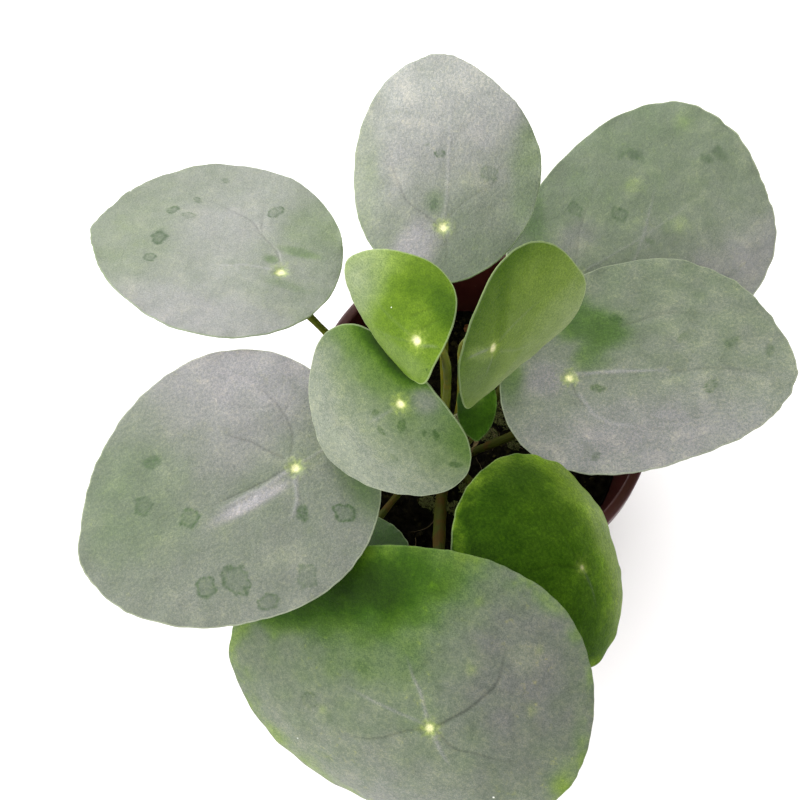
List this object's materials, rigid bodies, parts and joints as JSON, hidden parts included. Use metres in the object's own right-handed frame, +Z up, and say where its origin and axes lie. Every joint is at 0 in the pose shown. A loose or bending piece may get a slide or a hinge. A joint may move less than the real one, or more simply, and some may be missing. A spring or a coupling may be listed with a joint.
{
  "type": "potted chinese money plant",
  "caption": "House plant with round, waxy, shield-like leaves on long stalks that fan out from one short stem in a plain round nursery pot of soil.",
  "frame": {"origin": "middle of the pot's flat base, on the surface it stands on", "axes": "+Z up along the pot's axis; the very large lowest leaf reaches towards -Y and the right-hand leaf towards +X"},
  "size_m": [0.2341, 0.2531, 0.2426],
  "materials": {
    "leaf_mature": "waxy dark green leaf blade with a soft grey sheen, the stalk joint showing as a pale dot",
    "leaf_young": "fresh yellow-green young leaf blade, waxy",
    "petiole": "smooth olive green leaf stalk",
    "stem": "rough corky brown stem with leaf scars",
    "bud": "matt olive folded bud",
    "stipule": "dry papery brown-olive scale",
    "soil": "crumbly moist peat and bark potting mix, nearly black",
    "pot": "semi-matt dark maroon-brown moulded plastic"
  },
  "bodies": {
    "root": {"leaf_upper_left": "leaf_mature", "leaf_top": "leaf_mature", "leaf_upper_right": "leaf_mature", "leaf_right": "leaf_mature", "leaf_young_left": "leaf_young", "leaf_young_right": "leaf_young", "leaf_centre": "leaf_mature", "leaf_lower_left": "leaf_mature", "leaf_bottom": "leaf_mature", "leaf_lower_right": "leaf_mature", "leaf_small_inner": "leaf_mature", "leaf_small_low": "leaf_mature", "petiole_upper_left": "petiole", "petiole_top": "petiole", "petiole_upper_right": "petiole", "petiole_right": "petiole", "petiole_young_left": "petiole", "petiole_young_right": "petiole", "petiole_centre": "petiole", "petiole_lower_left": "petiole", "petiole_bottom": "petiole", "petiole_lower_right": "petiole", "petiole_small_inner": "petiole", "petiole_small_low": "petiole", "stem": "stem", "bud": "bud", "stipule_back": "stipule", "stipule_right": "stipule", "soil": "soil", "pot": "pot"}
  },
  "joints": []
}
